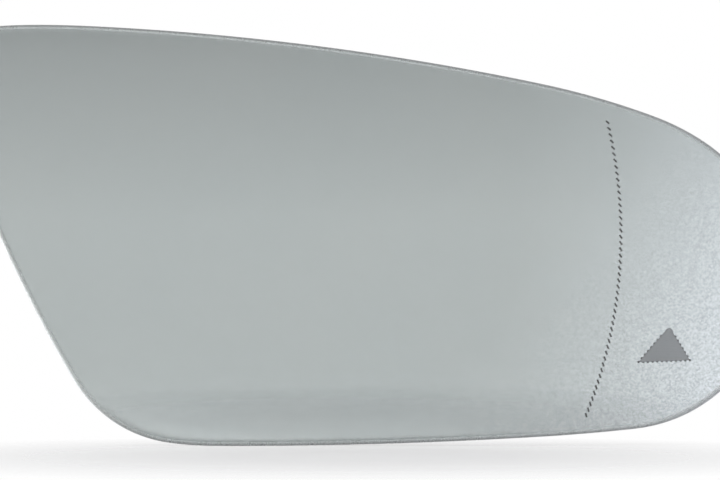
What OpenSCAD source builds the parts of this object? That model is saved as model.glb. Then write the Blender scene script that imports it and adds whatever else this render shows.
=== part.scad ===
// Frameless door mirror glass on its heated carrier, with an indicator module behind its outer end.
// The glass faces -Y, its outer end is +X, and the origin is the mouth of the adjuster socket.

/* [Glass outline] */
// Overall width of the glass
glass_w = 208.7; // [200:0.1:218]
// Overall height of the glass
glass_h = 105.3; // [100:0.1:110]
// Radius of the edge at its highest point
crown_r = 287; // [200:5:350]
// Turn of the edge at its highest point, in degrees
crown_turn = 2.8; // [2:0.1:4]
// Turn of the long upper edge
top_turn = 9; // [8:0.1:10]
// Radius where the upper edge starts to fall
top_outer_r = 203; // [180:2:240]
// Turn where the upper edge starts to fall
top_outer_turn = 8.4; // [6:0.1:10]
// Radius of the upper outer shoulder
shoulder_r = 60; // [55:1:80]
// Turn of the upper outer shoulder
shoulder_turn = 13.9; // [8:0.1:16]
// Radius where the lower edge leaves the outer end
bottom_outer_r = 466; // [400:2:520]
// Turn where the lower edge leaves the outer end
bottom_outer_turn = 2.8; // [2.4:0.1:4]
// Turn of the long lower edge
bottom_turn = 3.5; // [3:0.1:4.5]
// Radius of the lower edge where it turns to the lower inner corner
bottom_inner_r = 94; // [80:1:110]
// Turn of that curve in degrees
bottom_inner_turn = 7.2; // [5:0.1:9]
// Radius of the lower inner corner
inner_lower_r = 33; // [28:0.5:38]
// Turn of the lower inner corner
inner_lower_turn = 52.2; // [48:0.1:56]
// Turn of the inner edge
side_turn = 12.6; // [10:0.1:15]
// Radius of the upper inner corner
inner_upper_r = 12; // [11.5:0.5:15]
// Turn of the upper inner corner
inner_upper_turn = 102.6; // [98:0.1:106]
// Radius between the upper inner corner and the highest point
top_inner_r = 131; // [110:1:150]
// Turn between the upper inner corner and the highest point
top_inner_turn = 5.3; // [4:0.1:6]

/* [Glass] */
// Thickness of the glass
glass_t = 2; // [1.8:0.1:2.4]
// Radius of the convex face
face_r = 1250; // [1000:10:1500]
// Radius of the face past the row of dashes
end_face_r = 599.75; // [450:0.25:900]
// Width of the ground bevel on the front edge
front_bevel = 0.7; // [0.3:0.05:0.8]
// Width of the ground bevel on the back edge
back_bevel = 0.3; // [0.2:0.05:0.5]

/* [Reflecting layer] */
// Thickness of the reflecting layer
coat_t = 0.1; // [0.05:0.01:0.2]
// Distance of the reflecting layer from the edge of the glass
coat_inset = 0.4; // [0.35:0.05:0.6]
// Distance of the row of dashes from the outer end of the glass
line_inset = 38.606; // [34:0.001:44]
// Height of the outermost dash, from the adjuster axis
line_z = 0.35; // [-4:0.05:4]
// Radius of the row of dashes
line_r = 117; // [110:1:125]
// Angle of the first dash above the outermost one
line_up = 13.9; // [12:0.1:14.5]
// Angle of the last dash below the outermost one
line_down = 22.7; // [20:0.1:23]
// Number of dashes
dash_count = 48; // [40:1:54]
// Length of a dash
dash_l = 1.1; // [0.9:0.05:1.3]
// Width of a dash
dash_w = 0.4; // [0.3:0.05:0.5]
// Slant of a dash against the row, in degrees
dash_slant = 36; // [25:1:45]

/* [Triangular window] */
// Distance of the triangle's apex from the outer end of the glass
sign_x = 26.6; // [25.5:0.1:28]
// Height of the apex above the lowest point of the glass
sign_z = 29.5; // [28:0.1:31]
// Width of the triangle
sign_w = 12.7; // [11:0.1:14]
// Height of the triangle
sign_h = 8.4; // [7:0.1:9]
// Offset of the apex from the middle of the base, towards the outer end
sign_lean = 1.3; // [0:0.1:2]
// Rise of the base towards the outer end
sign_rise = 0.5; // [0:0.1:1]
// Number of dots along each side of the triangle
dot_count = 11; // [8:1:14]
// Radius of a dot
dot_r = 0.34; // [0.25:0.01:0.4]

/* [Heater] */
// Thickness of the bonding film behind the reflecting layer
film_t = 0.15; // [0.1:0.01:0.3]
// Distance of the bonding film from the edge of the glass
film_inset = 0.8; // [0.7:0.1:2]
// Thickness of the heater foil
foil_t = 0.2; // [0.1:0.01:0.3]
// Distance of the heater foil from the edge of the glass
foil_inset = 1.3; // [1:0.1:3]
// Thickness of the heater track
track_t = 0.1; // [0.05:0.01:0.2]
// Distance of the heater track from the edge of the glass
track_inset = 5; // [4:0.1:6]
// Spacing of the track's rows
row_pitch = 8.8; // [8.5:0.1:9.2]
// Gap between the track's rows
row_gap = 1.6; // [1.2:0.1:1.9]
// Width of the track where one row turns into the next
link_w = 4; // [3:0.1:5]
// Thickness of the tape that holds the carrier
tape_t = 0.5; // [0.3:0.05:0.8]
// Distance of the tape from the edge of the glass
tape_inset = 3.5; // [3:0.1:6]

/* [Terminals] */
// Distance of each terminal from the middle
terminal_x = 10; // [9.5:0.1:14]
// Width of a terminal's pad
pad_w = 9.5; // [9:0.1:11]
// Height of a terminal's pad
pad_h = 6.4; // [6:0.1:6.8]
// Thickness of a terminal's pad
pad_t = 0.4; // [0.3:0.05:0.5]
// Width of a terminal's blade
blade_w = 6.3; // [5.5:0.1:6.8]
// Thickness of a terminal's blade
blade_t = 0.8; // [0.5:0.1:1]
// Length of a terminal's blade, from the glass side of its pad
blade_l = 10; // [8:0.5:13]
// Radius of a rivet's shank
rivet_r = 0.9; // [0.7:0.05:1]
// Radius of a rivet's head
rivet_head_r = 1.5; // [1.3:0.05:1.6]
// Height of a rivet's head
rivet_head_t = 0.45; // [0.3:0.05:0.6]
// Thickness of a rivet's flange on the glass side
rivet_flange_t = 0.1; // [0.05:0.01:0.1]
// Distance between the two rivets of a terminal
rivet_pitch = 5.8; // [5.2:0.1:6]
// Clearance round a terminal's pad
terminal_gap = 0.5; // [0.3:0.1:0.7]

/* [Carrier plate] */
// Thickness of the plate
plate_t = 2; // [1.8:0.1:2.6]
// Distance of the plate from the edge of the glass
plate_inset = 1.6; // [1.3:0.1:3]
// Thickness of the wall round the plate
wall_t = 1.8; // [1.5:0.1:2.2]
// Height of the wall behind the plate
wall_h = 3.8; // [3:0.1:3.9]
// Thickness of the ribs
rib_t = 1.4; // [1:0.1:2]
// Height of the ribs behind the plate
rib_h = 3; // [2:0.1:3.4]
// Number of spokes round the socket
spoke_count = 14; // [8:1:16]
// Distance of the rim rib from the edge of the glass
rim_rib_inset = 9.6; // [9:0.1:10]

/* [Adjuster socket] */
// Radius of the socket
socket_r = 30; // [28:0.5:31]
// Depth of the socket's locating wall
socket_l = 5; // [4:0.5:5.5]
// Distance from the socket's mouth to the back of the plate at the middle
socket_rise = 8; // [7.5:0.1:9]
// Thickness of the socket's wall
socket_wall = 3; // [2.5:0.1:3.5]
// Step from the locating wall to the narrower floor
floor_step = 0.6; // [0.4:0.1:1]
// Height of the star of ribs on the socket's floor
star_h = 1.6; // [1:0.1:2]
// Number of arms of the star
star_count = 6; // [4:1:8]
// Radius of the hub on the socket's floor
hub_r = 7; // [5:0.5:9]
// Number of snap arms
arm_count = 6; // [4:1:8]
// Width of a snap arm, in degrees round the socket
arm_turn = 24; // [18:1:28]
// Thickness of a snap arm
arm_t = 1.8; // [1.5:0.1:2.2]
// Gap between the socket's wall and a snap arm
arm_gap = 0.9; // [0.7:0.1:1.2]
// Height of a snap arm above the socket's mouth
arm_h = 5.4; // [5:0.1:6.5]
// Reach of a snap arm's lip over the socket's wall
lip_reach = 2.2; // [1.5:0.1:2.6]
// Height of the lip's underside above the socket's mouth
lip_y = 2.8; // [2.5:0.1:3]

/* [Indicator] */
// Offset of the indicator's middle from the triangle's, towards the adjuster
case_shift = 2; // [1.5:0.1:3]
// Offset of the indicator's middle from the triangle's, upwards
case_lift = 1.1; // [0.8:0.1:2]
// Least gap between the light guide and the walls of the indicator's case
case_gap = 1.25; // [1.1:0.05:1.6]
// Depth of the indicator's case
case_d = 8; // [7.8:0.1:10]
// Wall of the indicator's case
case_wall = 1.5; // [1.2:0.1:1.8]
// Front wall of the indicator's case
case_front = 1.2; // [1:0.1:1.5]
// Corner radius of the indicator's case
case_corner = 3; // [2:0.1:4]
// Thickness of the indicator's lid
lid_t = 1.2; // [1:0.1:2]
// Depth of the lid's locating rim
lid_rim = 0.9; // [0.6:0.1:1]
// Thickness of the lid's locating rim
lid_rim_t = 1.2; // [0.8:0.1:1.5]
// Height of the frame that the indicator sits on, behind the plate at its lower outer corner
frame_rise = 2.8; // [2.6:0.1:3.4]
// Thickness of the gasket
gasket_t = 0.8; // [0.5:0.1:1.2]
// Width of the gasket
gasket_w = 2; // [1.6:0.1:2.4]
// Thickness of the light guide inside the case
guide_t = 2.5; // [2:0.1:2.7]
// Edge of the light guide's plate beyond the triangle on each side
guide_edge = 1.9; // [1.7:0.1:2.2]
// Gap between the circuit board and the case's walls
board_gap = 0.5; // [0.3:0.1:0.8]
// Thickness of the circuit board
board_t = 1; // [0.8:0.1:1.2]
// Distance from the case's front face to the circuit board
board_y = 5.3; // [5.1:0.1:5.4]
// Reach of the posts that carry the circuit board under its corners
post_w = 2.4; // [2:0.1:2.8]
// Number of lamps
led_count = 3; // [2:1:4]
// Size of a lamp
led_size = 2.8; // [2:0.1:3]
// Height of a lamp above the board
led_t = 1.2; // [1:0.1:1.3]
// Spacing of the lamps
led_pitch = 4.6; // [4:0.1:5]
// Number of resistors
resistor_count = 3; // [2:1:3]
// Length of a resistor
resistor_l = 3.2; // [2.5:0.1:3.4]
// Width of a resistor
resistor_w = 1.6; // [1.2:0.1:2]
// Height of a resistor
resistor_t = 0.6; // [0.4:0.1:0.7]
// Spacing of the resistors
resistor_pitch = 6; // [5:0.1:6.4]

/* [Indicator fixing and socket] */
// Distance from the case's side to the middle of an ear's hole
ear_reach = 3.3; // [3.2:0.1:3.6]
// Radius of an ear
ear_r = 3.4; // [3.2:0.1:3.6]
// Thickness of an ear
ear_t = 2.5; // [2:0.1:3]
// Radius of the hole in an ear
ear_hole_r = 1.6; // [1.5:0.05:1.8]
// Radius of a screw boss, wide enough to join the frame beside it
boss_r = 3.7; // [3.6:0.1:4]
// Radius of a screw's shank
screw_r = 1.15; // [1:0.05:1.2]
// Length of a screw under its head
screw_l = 6; // [5.5:0.1:6.5]
// Radius of a screw's head
screw_head_r = 2.7; // [2.4:0.1:2.9]
// Height of a screw's head
screw_head_t = 1.9; // [1.5:0.1:2.2]
// Offset of the cable socket from the case's middle, towards the adjuster
plug_x = 3; // [1:0.1:5]
// Width of the cable socket's hollow
plug_w = 8; // [7:0.1:9]
// Depth of the cable socket's hollow, front to back
plug_d = 3.8; // [3.4:0.1:3.9]
// Length of the cable socket
plug_l = 7.5; // [6:0.1:9]
// Wall of the cable socket
plug_wall = 1.1; // [0.9:0.1:1.3]
// Side of a square contact pin
pin_w = 0.64; // [0.5:0.02:0.7]
// Spacing of the two contact pins
pin_pitch = 2.54; // [2.3:0.02:2.8]
// Gap between the circuit board and the contact pins
pin_gap = 0.9; // [0.7:0.05:1]
// Distance of the pins' legs from the edge of the circuit board
pin_edge = 3; // [2.5:0.1:4]
// Length of a pin's leg behind the circuit board
pin_tail = 0.5; // [0.3:0.05:0.7]
// Distance of the pins' tips from the socket's mouth
pin_tip = 1.5; // [1:0.1:3]

/* [Fits] */
// Clearance round pieces that fit in one another
fit = 0.1; // [0.05:0.01:0.15]
// Clearance of the light guide in its windows
guide_fit = 0.2; // [0.1:0.05:0.3]

/* [Hidden] */

// Facets that keep the large face radii true, and those of small round parts
face_fn = 256;
$fn = 72;
// Overlap between shapes that are joined, and how far a cut runs past a face
lap = 0.2;
past = 1;

// Depth of each layer behind the front face of the glass
coat_d = glass_t;
film_d = coat_d + coat_t;
foil_d = film_d + film_t;
track_d = foil_d + foil_t;
tape_d = track_d + track_t;
plate_d = tape_d + tape_t;
plate_back_d = plate_d + plate_t;
past_mouth_d = plate_back_d + socket_rise + past;
front_y = -socket_rise - plate_back_d;

// Depth at which each feature of the carrier starts, inside the plate: all different, so that no
// two features share a face there
function root(k) = plate_back_d - plate_t * (0.3 + 0.1 * k);

// Arcs of the outline, clockwise from the highest point. Four radii are left open: they are solved
// so that the arcs close and reach the overall width and height.
end_turn = 360 - crown_turn - top_turn - top_outer_turn - shoulder_turn - bottom_outer_turn - bottom_turn
    - bottom_inner_turn - inner_lower_turn - side_turn - inner_upper_turn - top_inner_turn;
turns = [
    crown_turn, top_turn, top_outer_turn, shoulder_turn, end_turn, bottom_outer_turn, bottom_turn,
    bottom_inner_turn, inner_lower_turn, side_turn, inner_upper_turn, top_inner_turn
];
given_radii = [
    crown_r, 0, top_outer_r, shoulder_r, 0, bottom_outer_r, 0, bottom_inner_r, inner_lower_r, 0,
    inner_upper_r, top_inner_r
];
open_arcs = [1, 4, 6, 9];
arcs = [0:len(turns) - 1];
headings = [for (i = [0:len(turns)]) i == 0 ? 0 : sum([for (k = [0:i - 1]) turns[k]])];

function sum(v, i = 0) = i == len(v) - 1 ? v[i] : v[i] + sum(v, i + 1);
function minor(m, j) = [for (i = [1:len(m) - 1]) [for (k = [0:len(m) - 1]) if (k != j) m[i][k]]];
function det(m) =
    len(m) == 1 ? m[0][0] : sum([for (j = [0:len(m) - 1]) pow(-1, j) * m[0][j] * det(minor(m, j))]);

// How far an arc of radius 1 goes, right and up, inside one quarter of the turn
function reach(i, quarter) =
    let (from = max(headings[i], 90 * quarter), to = min(headings[i + 1], 90 * quarter + 90))
    to > from ? [sin(to) - sin(from), cos(to) - cos(from)] : [0, 0];
function extents(i) = [
    reach(i, 0).x + reach(i, 3).x, -reach(i, 1).x - reach(i, 2).x,
    -reach(i, 0).y - reach(i, 1).y, reach(i, 2).y + reach(i, 3).y
];
open_extents = [for (i = open_arcs) extents(i)];
left_over = [glass_w, glass_w, glass_h, glass_h] - sum([for (i = arcs) given_radii[i] * extents(i)]);
solved = [for (k = [0:3]) det([for (j = [0:3]) j == k ? left_over : open_extents[j]]) / det(open_extents)];
radii = [for (i = arcs) let (k = search(i, open_arcs)) len(k) > 0 ? solved[k[0]] : given_radii[i]];

// The adjuster axis is in the middle of the overall width and height
outer_x = glass_w / 2;
crown_z = glass_h / 2;
crown_x = outer_x - sum([for (i = arcs) radii[i] * reach(i, 0).x]);
bottom_z = -glass_h / 2;

// Points of the outline at a distance inside the edge, with the heading of the edge at each
chord = 4;
arc_step = 5;
function steps(i) = ceil(max(turns[i] / arc_step, radii[i] * turns[i] * PI / 180 / chord));
function arc_start(i, inset) =
    i == 0 ? [crown_x, crown_z - inset]
    : arc_start(i - 1, inset) + (radii[i - 1] - inset) * arc_move(headings[i - 1], headings[i]);
function arc_move(from, to) = [sin(to) - sin(from), cos(to) - cos(from)];
edge_headings = [for (i = arcs) for (k = [0:steps(i) - 1]) headings[i] + turns[i] * k / steps(i)];
function edge_points(inset) = [
    for (i = arcs) let (start = arc_start(i, inset)) for (k = [0:steps(i) - 1])
        start + (radii[i] - inset) * arc_move(headings[i], headings[i] + turns[i] * k / steps(i))
];

// The face is a ball of radius face_r that turns into a tighter curve at the row of dashes
line_x = outer_x - line_inset;
bend = asin(line_x / face_r);
face_y = front_y + face_r;
end_shift = face_r - end_face_r;
end_centre = end_shift * [cos(bend), sin(bend)];
function face_rho(x, d) =
    x < (face_r - d) * sin(bend) ? sqrt(pow(face_r - d, 2) - x * x)
    : end_centre.x + sqrt(pow(end_face_r - d, 2) - pow(x - end_centre.y, 2));

// Points of the line on which the two curves join, well inside and well outside of a radius, at
// round multiples of the shift between the two centres
seam_step = 0.2;
function seam_in(r) = end_centre * seam_step * floor(r / 2 / end_shift / seam_step);
function seam_out(r) = end_centre * seam_step * ceil((r + glass_w) / end_shift / seam_step);
function surface_y(p, d) = face_y - sqrt(pow(face_rho(p.x, d), 2) - p.y * p.y);

// Triangle of the window, grown or shrunk by the same distance on all sides
sign_apex = [outer_x - sign_x, bottom_z + sign_z];
sign_base = sign_apex - [sign_lean, sign_h];
sign_corners = [sign_apex, sign_base + [sign_w, sign_rise] / 2, sign_base - [sign_w, sign_rise] / 2];
function side(i) = norm(sign_corners[(i + 1) % 3] - sign_corners[(i + 2) % 3]);
sign_round = side(0) + side(1) + side(2);
sign_middle =
    (side(0) * sign_corners[0] + side(1) * sign_corners[1] + side(2) * sign_corners[2]) / sign_round;
sign_inner_r =
    abs(cross(sign_corners[1] - sign_corners[0], sign_corners[2] - sign_corners[0])) / sign_round;
function sign_points(grow) =
    [for (c = sign_corners) sign_middle + (c - sign_middle) * (sign_inner_r + grow) / sign_inner_r];
window_shrink = 0.3;
guide_grow = 0.8;
window_grow = guide_grow + guide_fit;

// Places behind the plate
guide_w = sign_w + 2 * guide_edge;
guide_h = sign_h + 2 * guide_edge;
case_w = guide_w + 2 * (case_shift + case_gap + case_wall);
case_h = guide_h + 2 * (case_lift + case_gap + case_wall);
case_at = sign_middle + [-case_shift, case_lift];
board_w = case_w - 2 * (case_wall + board_gap);
board_h = case_h - 2 * (case_wall + board_gap);
frame_y = surface_y(case_at + [case_w, -case_h] / 2, plate_back_d) + frame_rise;
case_y = frame_y + gasket_t;
case_back = case_y + case_d;
guide_y = case_y + case_front;
board_front = case_y + board_y;
pin_y = board_front - pin_gap - pin_w / 2;
leg_z = case_at.y + board_h / 2 - pin_edge;
case_top = case_at.y + case_h / 2;
plug_x0 = case_at.x - plug_x;
pad_z = bottom_z + track_inset + (row_pitch - row_gap) / 2;
heater_ends = [-terminal_x, terminal_x];
ears = [-case_w / 2 - ear_reach, case_w / 2 + ear_reach];
pilot_l = screw_l - ear_t;
bay_margin = 3;
bay_side = 4;
guide_corner = 1;

// Seen from the front: a flat shape that reaches from one depth in Y to another
module slab(from, to) {
    translate([0, to, 0]) rotate([90, 0, 0]) linear_extrude(height = to - from) children();
}

// Profile of the material between two depths behind the face, beside its long axis
module face_profile(from, to) {
    far = glass_w;
    intersection() {
        difference() {
            circle(r = face_r - from, $fn = face_fn);
            circle(r = face_r - to, $fn = face_fn);
        }
        polygon([
            seam_in(face_r), seam_out(face_r), [seam_out(face_r).x, -far], [seam_in(face_r).x, -far]
        ]);
    }
    translate(end_centre) intersection() {
        difference() {
            circle(r = end_face_r - from, $fn = face_fn);
            circle(r = end_face_r - to, $fn = face_fn);
        }
        polygon([
            seam_in(end_face_r), seam_out(end_face_r),
            [seam_out(end_face_r).x, far], [seam_in(end_face_r).x, far]
        ]);
    }
}

module face_shell(from, to) {
    sweep = 2 * asin(glass_h / face_r);
    translate([0, face_y, 0]) rotate([-90, 0, 0]) rotate([0, 90, 0]) rotate([0, 0, -sweep / 2])
        rotate_extrude(angle = sweep, $fn = face_fn) face_profile(from, to);
}

// A layer that follows the curved face between two depths, cut to a flat shape seen from the front
module layer(from, to, rear = arm_h) {
    intersection() {
        slab(front_y - past, rear) children();
        face_shell(from, to);
    }
}

// Stands a small part on a depth behind the face, square to the surface, with its front towards -Y
module on_face(p, d) {
    pitch = -asin(p.y / face_r);
    yaw = asin(p.x / face_r / cos(pitch));
    translate([0, face_y, 0]) rotate([pitch, 0, yaw]) translate([0, d - face_r, 0]) children();
}

module outline(inset) {
    polygon(edge_points(inset));
}

module band(inset, width) {
    difference() {
        outline(inset);
        outline(inset + width);
    }
}

module rounded(w, h, r) {
    square([w - 2 * r, h], center = true);
    square([w, h - 2 * r], center = true);
    for (x = [-1, 1], z = [-1, 1]) translate([x * (w / 2 - r), z * (h / 2 - r)]) circle(r = r);
}

// Closed wedge that runs round the edge of the glass and takes a bevel off it
module edge_cut(depth, width, way) {
    out = 0.3;
    points = edge_points(0);
    n = len(points);
    section = [[-width - out, -out * way], [out, (width + out) * way], [out, -out * way]];
    ring = [
        for (i = [0:n - 1]) let (side = [sin(edge_headings[i]), cos(edge_headings[i])]) for (s = section)
            let (p = points[i] + s.x * side) [p.x, surface_y(points[i], depth) + s.y, p.y]
    ];
    faces = [
        for (i = [0:n - 1], k = [0:2]) let (
            a = 3 * i + k, b = 3 * i + (k + 1) % 3,
            c = 3 * ((i + 1) % n) + (k + 1) % 3, d = 3 * ((i + 1) % n) + k
        ) each (way > 0 ? [[a, b, c], [a, c, d]] : [[a, c, b], [a, d, c]])
    ];
    polyhedron(points = ring, faces = faces);
}

module dashes() {
    for (i = [0:dash_count - 1]) {
        turn = line_up - (line_up + line_down) * i / (dash_count - 1);
        translate([line_x - line_r, line_z] + line_r * [cos(turn), sin(turn)]) rotate(turn + dash_slant)
            square([dash_w, dash_l], center = true);
    }
}

module sign_dots() {
    for (i = [0:2], k = [0:dot_count - 1]) {
        from = sign_corners[i];
        to = sign_corners[(i + 1) % 3];
        translate(from + (to - from) * k / dot_count) circle(r = dot_r, $fn = 16);
    }
}

module mirror_glass() {
    color([0.78, 0.84, 0.82, 0.5]) difference() {
        layer(0, glass_t) outline(0);
        edge_cut(0, front_bevel, 1);
        edge_cut(glass_t, back_bevel, -1);
    }
}

module mirror_coating() {
    color([0.68, 0.71, 0.70]) layer(coat_d, coat_d + coat_t) difference() {
        outline(coat_inset);
        dashes();
        polygon(sign_points(0));
        sign_dots();
    }
}

module icon_film() {
    color([0.42, 0.43, 0.44]) layer(film_d, film_d + film_t) polygon(sign_points(-window_shrink - fit / 2));
}

module rivet_places() {
    for (x = heater_ends, s = [-1, 1]) translate([x + s * rivet_pitch / 2, pad_z]) children();
}

module bonding_film() {
    color([0.05, 0.05, 0.06]) layer(film_d, film_d + film_t) difference() {
        outline(film_inset);
        polygon(sign_points(-window_shrink));
        rivet_places() circle(r = rivet_head_r + fit);
    }
}

module heater_foil() {
    color([0.85, 0.80, 0.62]) layer(foil_d, foil_d + foil_t) difference() {
        outline(foil_inset);
        polygon(sign_points(window_grow));
        rivet_places() circle(r = rivet_r + fit);
    }
}

// The heated area, which leaves a bay free round the triangle
module heated(inset) {
    more = inset - track_inset;
    low = sign_base.y - bay_margin - more;
    high = sign_apex.y + bay_margin + more;
    left = sign_corners[2].x - bay_side - more;
    difference() {
        outline(inset);
        translate([left, low]) square([outer_x + past - left, high - low]);
    }
}

module heater_track() {
    rows = floor((glass_h - 2 * track_inset) / row_pitch);
    first = bottom_z + track_inset;
    color([0.72, 0.45, 0.28]) layer(track_d, track_d + track_t) difference() {
        heated(track_inset);
        translate([-row_gap / 2, bottom_z]) square([row_gap, track_inset + rows * row_pitch]);
        for (k = [1:rows]) {
            low = first + k * row_pitch - row_gap;
            if (k % 2 == 1) intersection() {
                heated(track_inset + link_w);
                translate([-glass_w, low]) square([2 * glass_w, row_gap]);
            }
            else for (way = [-1, 1])
                translate([way * (row_gap / 2 + link_w + glass_w / 2), low + row_gap / 2])
                    square([glass_w, row_gap], center = true);
        }
        rivet_places() circle(r = rivet_r + fit);
    }
}

module terminal(x) {
    color([0.80, 0.66, 0.32]) {
        layer(tape_d, tape_d + pad_t) difference() {
            translate([x, pad_z]) square([pad_w, pad_h], center = true);
            rivet_places() circle(r = rivet_r + fit);
        }
        on_face([x, pad_z], tape_d) blade();
    }
}

// Blade that stands up from the pad, with a chamfered tip and a locking hole
module blade() {
    chamfer = 1;
    hole_r = 0.8;
    hole_at = blade_l - 3;
    translate([0, 0, -blade_t / 2]) linear_extrude(height = blade_t) difference() {
        polygon([
            [-blade_w / 2 + blade_t, pad_t / 2], [blade_w / 2 - blade_t, pad_t / 2],
            [blade_w / 2 - blade_t, pad_t + lap], [blade_w / 2, pad_t + blade_t],
            [blade_w / 2, blade_l - chamfer], [blade_w / 2 - chamfer, blade_l],
            [-blade_w / 2 + chamfer, blade_l], [-blade_w / 2, blade_l - chamfer],
            [-blade_w / 2, pad_t + blade_t], [-blade_w / 2 + blade_t, pad_t + lap]
        ]);
        translate([0, hole_at]) circle(r = hole_r);
    }
}

module heater_terminal_inner() {
    terminal(heater_ends[0]);
}

module heater_terminal_outer() {
    terminal(heater_ends[1]);
}

module rivet() {
    stack = foil_t + track_t + pad_t;
    head_top_r = rivet_head_r * 0.6;
    rotate([-90, 0, 0]) {
        translate([0, 0, -rivet_flange_t]) cylinder(r = rivet_head_r, h = rivet_flange_t);
        cylinder(r = rivet_r, h = stack + lap);
        translate([0, 0, stack]) cylinder(r1 = rivet_head_r, r2 = head_top_r, h = rivet_head_t);
    }
}

module terminal_rivets() {
    color([0.86, 0.76, 0.48]) for (x = heater_ends, s = [-1, 1])
        on_face([x + s * rivet_pitch / 2, pad_z], foil_d) rivet();
}

module terminal_windows(wall) {
    grow = 2 * (terminal_gap + wall);
    for (x = heater_ends) translate([x, pad_z]) square([pad_w + grow, pad_h + grow], center = true);
}

module carrier_tape() {
    color([0.16, 0.16, 0.17]) layer(tape_d, tape_d + tape_t) difference() {
        outline(tape_inset);
        terminal_windows(0);
        polygon(sign_points(window_grow));
    }
}

module spokes() {
    for (i = [0:spoke_count - 1]) rotate(360 * (i + 0.5) / spoke_count) translate([socket_r, -rib_t / 2])
        square([glass_w, rib_t]);
}

module case_area(grow) {
    translate(case_at) rounded(case_w + 2 * grow, case_h + 2 * grow, case_corner + grow);
}

module ear_places() {
    for (x = ears) translate([case_at.x + x, case_at.y]) children();
}

// Ribs behind the plate, seen from the front
module rib_plan() {
    difference() {
        intersection() {
            outline(plate_inset);
            union() {
                spokes();
                band(rim_rib_inset, rib_t);
            }
        }
        circle(r = socket_r + lap);
        terminal_windows(wall_t - lap);
        case_area(-gasket_w / 2);
    }
    difference() {
        terminal_windows(wall_t);
        terminal_windows(0);
    }
}

module star_plan() {
    for (i = [0:star_count - 1]) rotate(360 * i / star_count) translate([0, -rib_t / 2])
        square([socket_r - floor_step + lap, rib_t]);
    circle(r = hub_r);
}

module socket_wall_ring() {
    base = surface_y([0, socket_r], root(0));
    rotate([-90, 0, 0]) translate([0, 0, base]) difference() {
        cylinder(r = socket_r + socket_wall, h = -base);
        translate([0, 0, -past]) cylinder(r = socket_r - floor_step, h = past - base - socket_l + lap);
        translate([0, 0, -base - socket_l]) cylinder(r = socket_r, h = socket_l + past);
    }
}

// Snap arms round the socket, each a slice of one turned profile
module snap_arms() {
    inner = socket_r + socket_wall + arm_gap;
    outer = inner + arm_t;
    base = surface_y([0, inner], root(1));
    lip_r = inner - lip_reach;
    lip_flat = 0.9;
    rotate([-90, 0, 0]) for (i = [0:arm_count - 1])
        rotate([0, 0, 360 * i / arm_count - arm_turn / 2]) rotate_extrude(angle = arm_turn)
            polygon([
                [inner, base], [outer, base], [outer, arm_h - arm_t / 2], [outer - arm_t / 2, arm_h],
                [inner + arm_t / 4, arm_h], [lip_r, lip_y + lip_flat], [lip_r, lip_y], [inner, lip_y]
            ]);
}

module frame_plan() {
    difference() {
        case_area(0);
        case_area(-gasket_w);
    }
}

module carrier_plate() {
    color([0.10, 0.10, 0.11]) difference() {
        union() {
            layer(plate_d, plate_back_d) outline(plate_inset);
            layer(root(0), plate_back_d + wall_h) band(plate_inset, wall_t);
            layer(root(1), plate_back_d + rib_h) rib_plan();
            layer(root(2), plate_back_d + star_h) star_plan();
            socket_wall_ring();
            snap_arms();
            layer(root(3), past_mouth_d, frame_y) frame_plan();
            layer(root(4), past_mouth_d, case_y) ear_places() circle(r = boss_r);
        }
        slab(front_y, case_y) {
            terminal_windows(0);
            polygon(sign_points(window_grow));
        }
        slab(frame_y, case_back) case_area(fit);
        slab(case_y, case_back) ear_plan(fit);
        ear_places_3d(case_y) rotate([90, 0, 0]) cylinder(r = screw_r + fit / 2, h = pilot_l + fit);
    }
}

module ear_places_3d(y) {
    for (x = ears) translate([case_at.x + x, y, case_at.y]) children();
}

module ear_plan(grow) {
    ear_places() circle(r = ear_r + grow);
    translate(case_at) square([ears[1] - ears[0], 2 * (ear_r + grow)], center = true);
}

module plug_plan(grow) {
    translate([plug_x0, pin_y]) square([plug_w + 2 * grow, plug_d + 2 * grow], center = true);
}

module upright(from, to) {
    translate([0, 0, from]) linear_extrude(height = to - from) children();
}

module indicator_housing() {
    color([0.13, 0.13, 0.14]) difference() {
        union() {
            slab(case_y, case_back) case_area(0);
            slab(case_y, case_y + ear_t) ear_plan(0);
            upright(case_top - case_wall / 2, case_top + plug_l) plug_plan(plug_wall);
        }
        slab(guide_y, case_back + past) case_area(-case_wall);
        slab(case_y - past, guide_y + past) polygon(sign_points(window_grow));
        ear_places_3d(case_y + ear_t + past) rotate([90, 0, 0])
            cylinder(r = ear_hole_r, h = ear_t + 2 * past);
        upright(case_top + plug_wall, case_top + plug_l + past) plug_plan(0);
        upright(case_top - case_wall - past, case_top + plug_wall + past) pin_plan(fit / 2);
    }
    color([0.13, 0.13, 0.14]) board_posts();
}

module guide_plan(grow) {
    translate(sign_middle) rounded(guide_w + 2 * grow, guide_h + 2 * grow, guide_corner + grow);
}

// Corner posts inside the case that carry the board and reach over the edge of the light guide
module board_posts() {
    difference() {
        slab(guide_y - lap, board_front) difference() {
            case_area(-case_wall + lap);
            translate(case_at) {
                square([board_w - 2 * post_w, case_h], center = true);
                square([case_w, board_h - 2 * post_w], center = true);
            }
        }
        slab(guide_y, guide_y + guide_t + fit) guide_plan(fit);
    }
}

module indicator_lid() {
    color([0.15, 0.15, 0.16]) {
        slab(case_back, case_back + lid_t) case_area(0);
        slab(case_back - lid_rim, case_back + lap) difference() {
            case_area(-case_wall - fit);
            case_area(-case_wall - fit - lid_rim_t);
        }
    }
}

module light_guide() {
    color([0.90, 0.90, 0.88, 0.6]) {
        layer(foil_d, past_mouth_d, guide_y + lap) polygon(sign_points(guide_grow));
        slab(guide_y, guide_y + guide_t) guide_plan(0);
    }
}

module indicator_board() {
    color([0.10, 0.35, 0.20]) difference() {
        slab(board_front, board_front + board_t) translate(case_at)
            rounded(board_w, board_h, case_corner - case_wall);
        pin_legs(fit / 2);
    }
}

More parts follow.
